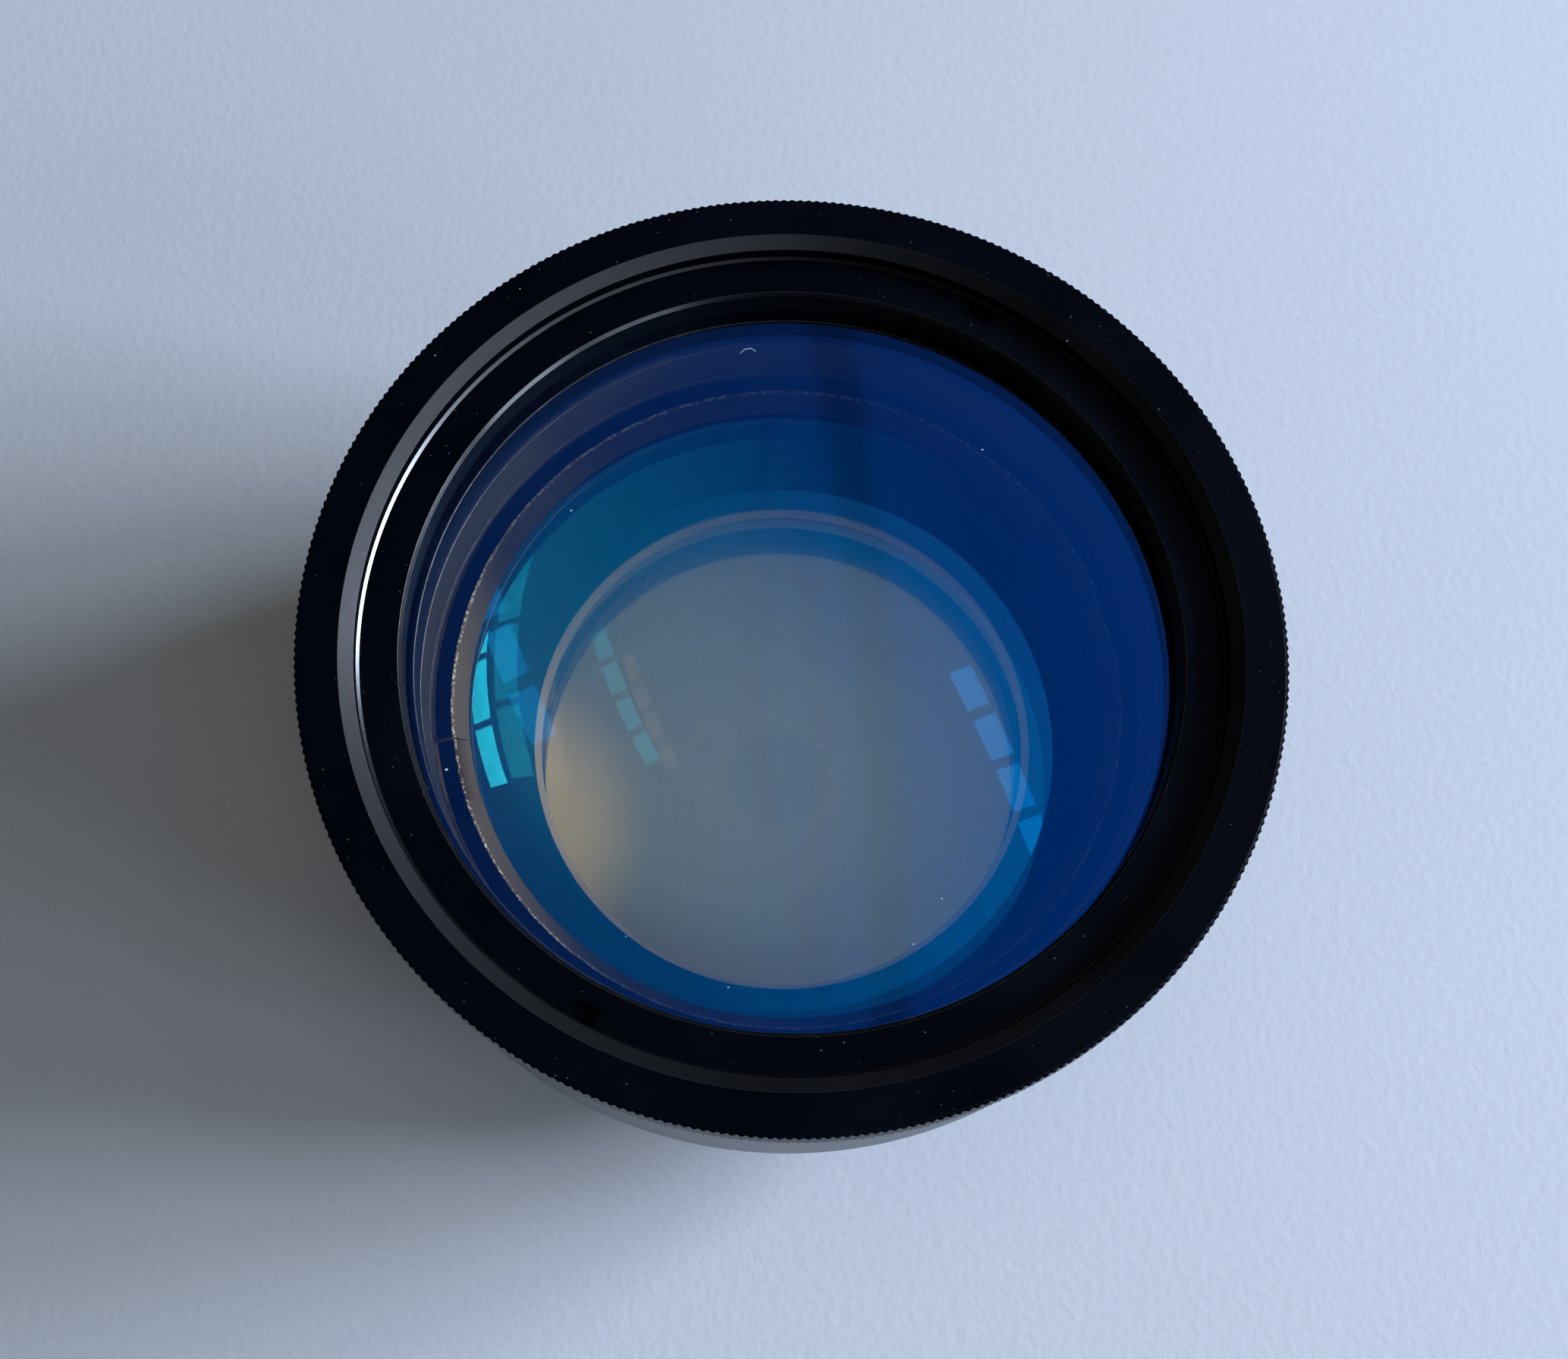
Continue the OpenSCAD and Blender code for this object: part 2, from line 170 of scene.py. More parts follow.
# %% Build meshes from columns of points
class Surface:
    """Collects quads with a normal at each corner and a material index, then makes the object."""

    def __init__(self):
        self.points = []
        self.faces = []
        self.normals = []
        self.finishes = []

    def add(self, corners, facings, finish):
        """One face from indices of points and the normals there."""
        kept = [k for k in range(len(corners)) if corners[k] != corners[k - 1]]
        if len(kept) > 2:
            self.faces.append([corners[k] for k in kept])
            self.normals.extend(facings[k] for k in kept)
            self.finishes.append(finish)

    def sweep(self, rows, sides, closed=True, finish=lambda row: 0):
        """Turns rows about the axis into a surface with that many sides."""
        ring_starts = []
        for r, z, *_ in rows:
            ring_starts.append(len(self.points))
            turns = 1 if r < 1e-6 else sides
            for j in range(turns):
                a = math.tau * j / sides
                self.points.append((r * math.cos(a), r * math.sin(a), z))
        for i in range(len(rows) if closed else len(rows) - 1):
            k = (i + 1) % len(rows)
            on_axis = (rows[i][0] < 1e-6, rows[k][0] < 1e-6)
            for j in range(sides):
                n = (j + 1) % sides
                a, b = math.tau * j / sides, math.tau * (j + 1) / sides
                low = [ring_starts[i] + (0 if on_axis[0] else x) for x in (j, n)]
                high = [ring_starts[k] + (0 if on_axis[1] else x) for x in (j, n)]
                facing = [
                    (row[2] * math.cos(t), row[2] * math.sin(t), row[3])
                    for row, t in ((rows[i], a), (rows[i], b), (rows[k], b), (rows[k], a))
                ]
                self.add([low[0], low[1], high[1], high[0]], facing, finish(rows[i]))

    def grid(self, columns, finish=0):
        """Joins columns of points into flat faced quads."""
        starts = []
        for column in columns:
            starts.append(len(self.points))
            self.points.extend(column)
        for near, far in zip(starts, starts[1:]):
            for i in range(len(columns[0]) - 1):
                self.flat([near + i, far + i, far + i + 1, near + i + 1], finish)

    def flat(self, corners, finish=0):
        """One flat face."""
        p = [Vector(self.points[c]) for c in corners]
        facing = (p[1] - p[0]).cross(p[2] - p[0])
        if facing.length < 1e-9:
            facing = (p[2] - p[0]).cross(p[-1] - p[0])
        facing.normalize()
        self.add(list(corners), [tuple(facing)] * len(corners), finish)

    def piece(self, name, materials, node=None):
        """Makes the object in metres, fixed to the lens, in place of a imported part."""
        mesh = bpy.data.meshes.new(name)
        mesh.from_pydata([(x * MM, y * MM, z * MM) for x, y, z in self.points], [], self.faces)
        mesh.polygons.foreach_set("material_index", self.finishes)
        mesh.polygons.foreach_set("use_smooth", [True] * len(self.faces))
        mesh.normals_split_custom_set(self.normals)
        for material in materials:
            mesh.materials.append(material)
        made = bpy.data.objects.new(name, mesh)
        bpy.context.scene.collection.objects.link(made)
        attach(made, "root")
        if node:
            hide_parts(node)
        print(f"{name}: {len(self.faces)} faces")
        return made


print("mesh builder ready")

# %% [markdown]
# ## Shader maths
#
# A finish is a small calculation over the surface. Wrapping a socket in a class with Python's
# operators lets that calculation be written as one, and each operator adds a Math node.


# %% Write node maths as Python
class Signal:
    """The output of a node, with arithmetic."""

    def __init__(self, tree, socket=None):
        self.tree = tree
        self.socket = socket

    def node(self, kind, settings=None, inputs=None, output=0):
        """Adds a node: its settings first, then values or signals for its inputs."""
        made = self.tree.nodes.new(kind)
        for key, value in (settings or {}).items():
            setattr(made, key, value)
        for key, value in (inputs or {}).items():
            if isinstance(value, Signal):
                self.tree.links.new(value.socket, made.inputs[key])
            else:
                made.inputs[key].default_value = value
        return Signal(self.tree, made.outputs[output])

    def math(self, operation, a, b=0.0):
        return self.node("ShaderNodeMath", {"operation": operation}, {0: a, 1: b})

    def __add__(self, other):
        return self.math("ADD", self, other)

    def __radd__(self, other):
        return self.math("ADD", other, self)

    def __sub__(self, other):
        return self.math("SUBTRACT", self, other)

    def __rsub__(self, other):
        return self.math("SUBTRACT", other, self)

    def __mul__(self, other):
        return self.math("MULTIPLY", self, other)

    def __truediv__(self, other):
        return self.math("DIVIDE", self, other)

    def above(self, edge, width):
        """0 below an edge and 1 above it, with a soft step of that width."""
        settings = {"interpolation_type": "SMOOTHSTEP", "clamp": True}
        inputs = {"Value": self, "From Min": edge - width / 2, "From Max": edge + width / 2}
        return self.node("ShaderNodeMapRange", settings, inputs)

    def blend(self, low, high):
        """Colour low where this is 0, and colour high where it is 1."""
        return self.node("ShaderNodeMix", {"data_type": "RGBA"}, {0: self, 6: low, 7: high}, 2)


def material(name):
    """A new material: its Principled shader, and a signal to start its nodes from."""
    made = bpy.data.materials.new(name)
    made.use_nodes = True
    return made, made.node_tree.nodes["Principled BSDF"], Signal(made.node_tree)


def link(signal, shader, name):
    signal.tree.links.new(signal.socket, shader.inputs[name])


def grain(start, scale, detail=3.0):
    """Noise in the object's own space, about 0 to 1, with a scale in features per metre."""
    place = start.node("ShaderNodeTexCoord", output=3)
    return start.node("ShaderNodeTexNoise", {}, {"Vector": place, "Scale": scale, "Detail": detail})


def around_axis(start):
    """Distance from the optical axis and height, in metres."""
    place = start.node("ShaderNodeTexCoord", output=3)
    split = start.node("ShaderNodeSeparateXYZ", {}, {0: place})
    x, y, z = (Signal(start.tree, split.socket.node.outputs[k]) for k in range(3))
    flat = start.node("ShaderNodeCombineXYZ", {}, {0: x, 1: y})
    distance = start.node("ShaderNodeVectorMath", {"operation": "LENGTH"}, {0: flat}, 1)
    return distance, z


print("shader helper ready")

# %% [markdown]
# ## Black anodised aluminium
#
# Anodising grows a dyed oxide skin that keeps the turning marks of the metal below. Seen square
# on it is nearly black, and at a grazing angle it turns pale, which the shader's own Fresnel
# does. The marks are fine rings, so their bump is noise along the radius and the height only.
# Faces, sides, bores, edges and the tube differ in how much they shine, so one function makes them all, and
# the tube's lighter colour is painted sheen. On the ring of the exit lens, one side is painted bronze as
# painted light, where the window lights its cone. Round one radius the ring is chipped to bare metal, more
# on that lit side.


# %% Make the anodised finishes
DUST_GREY = (0.35, 0.36, 0.38, 1.0)
PAINTED_LIGHT_BRONZE = (0.036, 0.028, 0.016, 1.0)
BARE_METAL = (0.24, 0.22, 0.17, 1.0)
CHIP_W = 0.26
LIT_SIDE_R = 33.0


def anodised(name, colour, roughness, level, mark_depth, dust=0.0, index=1.5, bare_r=0.0, lit_side=None):
    """Marks are mark_depth mm deep. bare_r is the chipped radius, and lit_side is the direction, in degrees,
    of a side painted bronze as painted light.
    """
    made, shader, start = material(name)
    distance, height = around_axis(start)
    ring = start.node("ShaderNodeCombineXYZ", {}, {0: distance, 1: height})
    marks = start.node("ShaderNodeTexNoise", {}, {"Vector": ring, "Scale": 9000.0, "Detail": 2.0})
    clouds = grain(start, 90.0)
    speckle = grain(start, 5200.0, 2.0)
    lighter = tuple(min(1.0, c * 1.8 + 0.001) for c in colour[:3]) + (1.0,)
    tone = clouds.above(0.5, 0.5).blend(colour, lighter)
    if dust > 0:
        bits = grain(start, 2600.0, 1.0).above(0.79, 0.03) * dust
        tone = bits.blend(tone, DUST_GREY)
    lit_mask = None
    # A bronze patch on one side is painted light: it marks the side that the window lights.
    if lit_side is not None:
        side = (math.cos(math.radians(lit_side)), math.sin(math.radians(lit_side)), 0.0)
        place = start.node("ShaderNodeTexCoord", output=3)
        dot = {"operation": "DOT_PRODUCT"}
        along = start.node("ShaderNodeVectorMath", dot, {0: place, 1: side}, 1)
        lit_mask = (along / (LIT_SIDE_R * MM)).above(0.84, 0.24)
        tone = lit_mask.blend(tone, PAINTED_LIGHT_BRONZE)
    if bare_r > 0:
        near = 1.0 - start.math("ABSOLUTE", distance - bare_r * MM).above(CHIP_W * MM, 0.06 * MM)
        chipped = near * grain(start, 3200.0, 2.0).above(0.54, 0.10)
        # The chips are real wear, but they are made stronger on the painted lit side.
        if lit_mask is not None:
            chipped = chipped * (lit_mask * 0.8 + 0.2)
        tone = chipped.blend(tone, BARE_METAL)
    link(tone, shader, "Base Color")
    link(roughness + (speckle - 0.5) * 0.12 + (clouds - 0.5) * 0.06, shader, "Roughness")
    height_map = marks * 0.6 + speckle * 0.4
    bump = start.node(
        "ShaderNodeBump", {}, {"Strength": 1.0, "Distance": mark_depth * MM, "Height": height_map}
    )
    link(bump, shader, "Normal")
    shader.inputs["Specular IOR Level"].default_value = level
    shader.inputs["IOR"].default_value = index
    return made


face_black = anodised("anodised_face", (0.0002, 0.0008, 0.0026, 1.0), 0.40, 0.03, 0.003, 0.25)
side_black = anodised("anodised_side", (0.0040, 0.0044, 0.0056, 1.0), 0.34, 0.42, 0.004, 0.0, 2.0)
bore_black = anodised("anodised_bore", (0.0004, 0.0010, 0.0022, 1.0), 0.36, 0.035, 0.005)
edge_black = anodised("anodised_edge", (0.0020, 0.0024, 0.0030, 1.0), 0.21, 0.62, 0.002, 0.0, 1.6)
chipped_and_lit_bronze = anodised(
    "chipped_and_lit_bronze", (0.0045, 0.0050, 0.0050, 1.0), 0.40, 0.04, 0.005, bare_r=33.2, lit_side=200.0
)
# The tube is lighter than the bore as painted sheen: its colour stands in for the window light that the
# inner wall catches.
tube_painted_sheen = anodised("anodised_tube_painted_sheen", (0.0100, 0.0105, 0.0090, 1.0), 0.40, 0.02, 0.005)
for finish in (face_black, side_black, bore_black, edge_black, chipped_and_lit_bronze, tube_painted_sheen):
    print("made", finish.name)

# %% [markdown]
# ## Coated glass
#
# Each polished surface carries a coating that lets the infrared laser through and throws back
# blue. A Principled shader with full transmission does this: Specular Tint is the colour of the
# reflection, and what is reflected no longer passes, so things seen through many surfaces turn
# warm. Some tints are above 1, because a coating reflects more blue than bare glass does, and
# because Cycles clamps indirect light, so a brighter lamp would not show in the glass. The rim
# of a lens is ground with abrasive and stays frosted and pale.


# %% Make the glass
GLASS_INDEX = 1.5


def coated_glass(name, tint, level, body=(1.0, 1.0, 1.0)):
    """Glass with a tinted reflection. The body colour is what passes."""
    made, shader, start = material(name)
    film = grain(start, 60.0)
    link(film.above(0.5, 0.8) * 0.004, shader, "Roughness")
    thin, thick = (0.99 * c for c in body), (0.97 * c for c in body)
    link(film.above(0.5, 0.9).blend((*thin, 1.0), (*thick, 1.0)), shader, "Base Color")
    shader.inputs["Transmission Weight"].default_value = 1.0
    shader.inputs["IOR"].default_value = GLASS_INDEX
    shader.inputs["Specular IOR Level"].default_value = level
    shader.inputs["Specular Tint"].default_value = tint
    return made


window_coat = coated_glass("coated_window", (0.00, 0.40, 2.3, 1.0), 0.95)
lens_coat = coated_glass("coated_lens", (0.00, 0.95, 3.0, 1.0), 0.95)
rear_side_coat = coated_glass("coated_lens_rear_side", (0.00, 1.30, 3.0, 1.0), 0.95)
rear_coat = coated_glass("coated_rear_lens", (0.60, 0.45, 0.60, 1.0), 0.50, (1.0, 0.97, 0.50))

ground_glass, ground_shader, ground_start = material("ground_glass")
frost = grain(ground_start, 3500.0, 4.0)
link(frost.blend((0.20, 0.19, 0.165, 1.0), (0.30, 0.285, 0.25, 1.0)), ground_shader, "Base Color")
link(0.55 + frost * 0.2, ground_shader, "Roughness")
print("glass made:", window_coat.name, lens_coat.name, rear_side_coat.name, rear_coat.name)

# %% [markdown]
# ## The front cell and its knurled head
#
# The cell screws into the barrel and carries the window. Its head is knurled so that fingers
# can turn it: a wheel rolls two crossing sets of grooves, which leave small diamonds. In a grid
# whose corners are high and low in turn, the low corners joined across each square are the
# grooves, and nothing finer is needed. The grooves run out through the front face, so its edge
# shows small teeth, and a narrow ring of quads joins their tips to the flat face.

# %% Turn the front cell
SIDES = 288
TEETH = 350
KNURL_DEPTH = 0.17
KNURL_ROWS = 7
KNURL_MARGIN = 0.25
KNURL_TOP = 0.06

bore_r = outer("window_retaining_ring")
pane_r = outer("protective_window")
pane_low, pane_top = ends("protective_window")
ring_top = ends("window_retaining_ring")[1]
cell_low = ends("front_cell")[0]
SEAT_R = 35.2
FACE_INNER_R = 41.1
LEAD_IN_H = 0.7
THREAD_CREST_R = 39.5
SKIRT_R = 41.5
PILOT_R = 41.0
GROOVE_DEEP = 1.25
SEAL_OUTER_R = 37.975
SEAL_INNER_R = 36.575
SEAL_DEEP = 1.0
FIT = 0.05
skirt_low = front_z - 3.4


def knurl(surface, radius, low, high, finish, cap_finish):
    """Diamonds between two heights: tips at the radius, grooves below it, a cap inside them."""
    start = len(surface.points)
    cap_r = radius - 2 * KNURL_DEPTH
    for j in range(2 * TEETH):
        a = math.pi * j / TEETH
        for i in range(KNURL_ROWS + 1):
            tip = (i + j) % 2 == 0 and i > 0
            r = radius - (0.0 if tip else KNURL_DEPTH)
            z = low + (high - low) * i / KNURL_ROWS
            surface.points.append((r * math.cos(a), r * math.sin(a), z))
        surface.points.append((cap_r * math.cos(a), cap_r * math.sin(a), high + KNURL_TOP))
    rows = KNURL_ROWS + 2
    for j in range(2 * TEETH):
        n = (j + 1) % (2 * TEETH)
        for i in range(KNURL_ROWS):
            a, b = start + j * rows + i, start + n * rows + i
            if (i + j) % 2 == 0:
                surface.flat([a, b, a + 1], finish)
                surface.flat([b, b + 1, a + 1], finish)
            else:
                surface.flat([a, b, b + 1], finish)
                surface.flat([a, b + 1, a + 1], finish)
        a, b = start + j * rows + KNURL_ROWS, start + n * rows + KNURL_ROWS
        surface.flat([a, b, b + 1, a + 1], cap_finish)


cell_section = rounded([
    (SEAT_R, cell_low, 0.1),
    (PILOT_R, cell_low, 0.3),
    (PILOT_R, cell_low + 1.1, 0.05),
    (PILOT_R - GROOVE_DEEP, cell_low + 1.1, 0.05),
    (PILOT_R - GROOVE_DEEP, cell_low + 2.8, 0.05),
    (PILOT_R, cell_low + 2.8, 0.05),
    (PILOT_R, skirt_low, 0.05),
    (SKIRT_R, skirt_low + 0.5, 0.05),
    (SKIRT_R, front_z, 0.02),
    (head_r - KNURL_DEPTH, front_z, 0.05),
    (head_r - KNURL_DEPTH, front_z + KNURL_MARGIN, 0.01),
    (head_r - 2 * KNURL_DEPTH, front_z + KNURL_MARGIN, 0.01),
    (head_r - 2 * KNURL_DEPTH, total_z, 0.01),
    (FACE_INNER_R, total_z, 0.05),
    (bore_r, total_z - LEAD_IN_H, 0.02),
    (bore_r, ring_top + 0.35, 0.03),
    (THREAD_CREST_R, ring_top + 0.12, 0.04),
    (THREAD_CREST_R, pane_top + 0.4, 0.02),
    (pane_r + FIT, pane_top + 0.4, 0.02),
    (pane_r + FIT, pane_low, 0.02),
    (SEAL_OUTER_R, pane_low, 0.02),
    (SEAL_OUTER_R, pane_low - SEAL_DEEP, 0.02),
    (SEAL_INNER_R, pane_low - SEAL_DEEP, 0.02),
    (SEAL_INNER_R, pane_low, 0.02),
    (SEAT_R, pane_low, 0.12),
])


BODY_FINISHES = [face_black, bore_black, edge_black, side_black, tube_painted_sheen]
FACE, BORE, EDGE, SIDE, TUBE_SHEEN = range(len(BODY_FINISHES))


def cell_finish(row):
    r, z, _, facing_z, is_round = row
    lead_in = r < FACE_INNER_R and 0.3 < facing_z < 0.95 and z > ring_top
    if lead_in or (is_round and z > pane_low - 0.5):
        return EDGE
    if r > SKIRT_R and facing_z < 0.9:
        return SIDE
    return FACE if facing_z > 0.9 else BORE


cell = Surface()
cell.sweep(cell_section, SIDES, finish=cell_finish)
knurl(cell, head_r, front_z + KNURL_MARGIN, total_z - KNURL_TOP, SIDE, FACE)
cell.piece("front_cell_turned", BODY_FINISHES, "front_cell")

# %% [markdown]
# ## The barrel and its mounting thread
#
# The barrel is one long turning with stepped bores. Its mounting thread is a fine one, M85 by
# 1 mm: a real helix, made by shifting each column of points along the axis as it goes round.
# It is a separate strip over a core of its root radius, and its height fades out at both ends,
# as a thread does where the tool leaves the metal. Inside, each lens has its own step or cone.
# The holes of the three grub screws aren't cut in this sweep, so the screws that hold the cell
# stay hidden in the wall.

# %% Turn the barrel
def sag(radius, r):
    """Height between the lowest point of a sphere and its circle of radius r."""
    return radius - math.sqrt(radius * radius - r * r)


THREAD_R = 42.5
THREAD_PITCH = 1.0
THREAD_DEPTH = 0.61
RUN_OUT_R = THREAD_R - 0.9
RUN_OUT_H = 1.3
UNDERCUT = 0.2
thread_low = front_z - 28.8
shoulder_z = front_z - 20.0
NOSE_R = 29.0
NOSE_BORE_R = 25.3
NOSE_H = 8.6
CONE_H = 3.6
WAIST_R = 37.0
TUBE_R = 35.2
exit_low, exit_top = ends("exit_lens")
exit_ring_low, exit_ring_top = ends("exit_lens_ring")
middle_low, middle_top = ends("middle_lens")
entrance_low, entrance_top = ends("entrance_lens")
main_r = outer("exit_lens")
entrance_r = outer("entrance_lens")
WEB_R = entrance_r - 0.9
MIDDLE_REAR_R = 260.0
SEAT_W = 3.5
touch_r = main_r - SEAT_W / 2


def middle_seat(r):
    """Height of the conical seat that touches the middle lens halfway across."""
    slope = touch_r / math.sqrt(MIDDLE_REAR_R ** 2 - touch_r ** 2)
    return middle_low + sag(MIDDLE_REAR_R, touch_r) + slope * (r - touch_r)


def thread(surface, low, high, sides, finish):
    """A V thread with small flats, fading out at both ends."""
    turns = round((high - low) / THREAD_PITCH) + 1
    shape = ((0.0, 0.0), (0.12, 0.0), (0.46, 1.0), (0.66, 1.0))
    start = len(surface.points)
    rows = turns * len(shape)
    for j in range(sides + 1):
        a = math.tau * j / sides
        for i in range(rows):
            along, share = shape[i % len(shape)]
            z = low + (i // len(shape) - 1 + along + j / sides) * THREAD_PITCH
            inside = min(z - low, high - z)
            share *= max(0.0, min(1.0, 1 + inside / 0.5))
            z = max(low, min(high, z))
            share *= max(0.0, min(1.0, inside / 0.4 + 0.2))
            r = THREAD_R - THREAD_DEPTH * (1 - share)
            surface.points.append((r * math.cos(a), r * math.sin(a), z))
    for j in range(sides):
        for i in range(rows - 1):
            a, b = start + j * rows + i, start + (j + 1) * rows + i
            surface.flat([a, b, b + 1, a + 1], finish)


core_r = THREAD_R - THREAD_DEPTH
exit_ring_r = outer("exit_lens_ring")
REAR_THREAD_R = 25.0
barrel_section = rounded([
    (NOSE_BORE_R, 0.0, 0.05),
    (NOSE_R, 0.0, 0.25),
    (NOSE_R, NOSE_H, 0.2),
    (WAIST_R, NOSE_H + CONE_H, 0.4),
    (WAIST_R, thread_low, 0.1),
    (core_r, thread_low, 0.05),
    (core_r - 0.02, thread_low + 0.3, 0.0),
    (core_r - 0.02, shoulder_z - RUN_OUT_H, 0.0),
    (RUN_OUT_R, shoulder_z - RUN_OUT_H + 0.1, 0.05),
    (RUN_OUT_R, shoulder_z + UNDERCUT, 0.05),
    (THREAD_R + 0.2, shoulder_z + UNDERCUT, 0.03),
    (THREAD_R + 0.2, shoulder_z, 0.05),
    (body_r, shoulder_z, 0.2),
    (body_r, front_z - 3.6, 0.0),
    (body_r, front_z, 0.15),
    (SKIRT_R, front_z, 0.1),
    (SKIRT_R, skirt_low, 0.05),
    (PILOT_R + FIT, skirt_low - 0.5, 0.05),
    (PILOT_R + FIT, cell_low - 1.0, 0.05),
    (TUBE_R, cell_low - 1.0, 0.12),
    (TUBE_R, exit_ring_top + 0.3, 0.05),
    (exit_ring_r, exit_ring_top + 0.3, 0.03),
    (exit_ring_r, exit_ring_low - 0.3, 0.03),
    (main_r + FIT, exit_ring_low - 0.3, 0.03),
    (main_r + FIT, middle_seat(main_r + FIT), 0.05),
    (main_r - SEAT_W, middle_seat(main_r - SEAT_W), 0.1),
    (WEB_R, entrance_top + 1.0, 0.1),
    (WEB_R, entrance_top, 0.08),
    (entrance_r + FIT, entrance_top, 0.03),
    (entrance_r + FIT, entrance_low + 0.3, 0.03),
    (REAR_THREAD_R, entrance_low + 0.3, 0.03),
    (REAR_THREAD_R, 0.3, 0.05),
])


def barrel_finish(row):
    r, z, facing_r, facing_z, is_round = row
    if is_round:
        return EDGE
    if facing_r > 0.3 or (facing_z < -0.9 and r > WAIST_R - 9):
        return SIDE
    return TUBE_SHEEN if middle_top < z < cell_low else BORE


barrel = Surface()
barrel.sweep(barrel_section, SIDES, finish=barrel_finish)
thread(barrel, thread_low, shoulder_z - RUN_OUT_H, SIDES, SIDE)
barrel.piece("barrel_turned", BODY_FINISHES, "barrel")

# %% [markdown]
# ## Rings with spanner slots
#
# Each retaining ring is threaded outside and has two slots for a face spanner. In a slot the
# section is the same, only cut down to the slot's floor, so a ring is a sweep with two sections
# in turn. A slot has parallel sides, so its edge lies at a wider angle on a smaller radius.

# %% Make a slotted ring
SLOT_STEPS = 6
SLOT_DEPTH = 0.9
SLIT = 0.001


def cut_down(rows, low_r, floor, roof=False):
    """The section inside a slot: every row past low_r is brought to the slot's floor."""
    made = []
    for r, z, facing_r, facing_z, is_round in rows:
        if r >= low_r and (z < floor if roof else z > floor):
            made.append((r, floor, 0.0, -1.0 if roof else 1.0, False))
        else:
            made.append((r, z, facing_r, facing_z, is_round))
    return made


def stations_round(directions, sides):
    """Stations of (in a slot, direction of the slot, angle to the next, share of the way)."""
    stations = []
    for k, direction in enumerate(directions):
        following = directions[(k + 1) % len(directions)]
        span = (following - direction) % 360 or 360
        steps = int(sides * span / 360)
        stations += [(True, direction, span, step / SLOT_STEPS) for step in range(SLOT_STEPS + 1)]
        stations += [(False, direction, span, step / steps) for step in range(steps + 1)]
    return stations


def slotted_ring(surface, rows, cut_rows, half_width, directions, sides, finish):
    """Sweeps a ring whose section changes to cut_rows inside each slot."""
    columns = []
    for in_slot, direction, span, t in stations_round(directions, sides):
        start = len(surface.points)
        facings = []
        for plain, cut in zip(rows, cut_rows):
            half = math.asin(half_width / plain[0])
            if in_slot:
                a = math.radians(direction) + half * (2 * t - 1)
            else:
                a = math.radians(direction) + half + (math.radians(span) - 2 * half) * t
            r, z, facing_r, facing_z, _ = cut if in_slot else plain
            surface.points.append((r * math.cos(a), r * math.sin(a), z))
            facings.append((facing_r * math.cos(a), facing_r * math.sin(a), facing_z))
        columns.append((in_slot, start, facings))
    for j, (in_slot, here, facing_here) in enumerate(columns):
        next_in_slot, there, facing_there = columns[(j + 1) % len(columns)]
        for i in range(len(rows)):
            m = (i + 1) % len(rows)
            corners = [here + i, there + i, there + m, here + m]
            if in_slot == next_in_slot:
                facing = [facing_here[i], facing_there[i], facing_there[m], facing_here[m]]
                surface.add(corners, facing, finish(rows[i]))
                continue
            gaps = [math.dist(surface.points[here + x], surface.points[there + x]) for x in (i, m)]
            if max(gaps) > 1e-6:
                surface.flat(corners, EDGE)


def ring_finish(row):
    _, _, _, facing_z, is_round = row
    if is_round or 0.3 < facing_z < 0.9:
        return EDGE
    return FACE if facing_z > 0.9 else BORE


RING_FINISHES = [face_black, bore_black, edge_black]
print("slots are", SLOT_DEPTH, "mm deep")

# %% [markdown]
# ## The ring over the window
#
# This ring is the widest and shows its whole face. Its slots cut only the outer half of the
# face, so a seam of two rows, a slit apart, marks where the cut begins.

# %% Turn the ring over the window
WINDOW_RING_R = 35.8
WINDOW_SLOTS = (68.0, 248.0)
SLOT_HALF = 1.2
slot_start = (WINDOW_RING_R + bore_r) / 2
window_ring_rows = rounded([
    (WINDOW_RING_R, pane_top, 0.1),
    (pane_r - 0.3, pane_top, 0.05),
    (pane_r, pane_top + 0.7, 0.05),
    (THREAD_CREST_R - 0.05, pane_top + 0.9, 0.05),
    (THREAD_CREST_R - 0.05, ring_top, 0.05),
    (slot_start + SLIT, ring_top, 0.0),
    (slot_start, ring_top, 0.0),
    (WINDOW_RING_R + 0.3, ring_top, 0.06),
    (WINDOW_RING_R, ring_top - 0.3, 0.06),
])
window_ring_cut = cut_down(window_ring_rows, slot_start + SLIT / 2, ring_top - SLOT_DEPTH)
window_ring = Surface()
slotted_ring(window_ring, window_ring_rows, window_ring_cut, SLOT_HALF, WINDOW_SLOTS, SIDES, ring_finish)
window_ring.piece("window_ring_turned", RING_FINISHES, "window_retaining_ring")

# %% [markdown]
# ## The ring over the exit lens
#
# Its underside is a cone that bears on the convex glass, and the edge where its flare meets
# its top face is where the skin has worn. The slots are wide and cut its whole face.

# %% Turn the ring over the exit lens
EXIT_SLOTS = (20.0, 200.0)
EXIT_SLOT_HALF = 3.25
EXIT_RING_CLEAR_R = 31.7
EXIT_RING_TOP_R = 33.1
exit_ring_rows = rounded([
    (EXIT_RING_CLEAR_R, exit_ring_top - 2.5, 0.05),
    (exit_ring_r, exit_ring_low, 0.05),
    (exit_ring_r, exit_ring_top, 0.25),
    (EXIT_RING_TOP_R, exit_ring_top, 0.15),
])
exit_ring_cut = cut_down(exit_ring_rows, 0.0, exit_ring_top - SLOT_DEPTH)
exit_ring = Surface()
slotted_ring(exit_ring, exit_ring_rows, exit_ring_cut, EXIT_SLOT_HALF, EXIT_SLOTS, SIDES, ring_finish)
# One side of this ring is painted bronze as painted light.
exit_ring.piece("exit_ring_turned", [face_black, bore_black, chipped_and_lit_bronze], "exit_lens_ring")

# %% [markdown]
# ## The ring under the entrance lens
#
# The small lens is held from below, so this ring is the same idea upside down: the slots are
# cut upwards from its lower face.

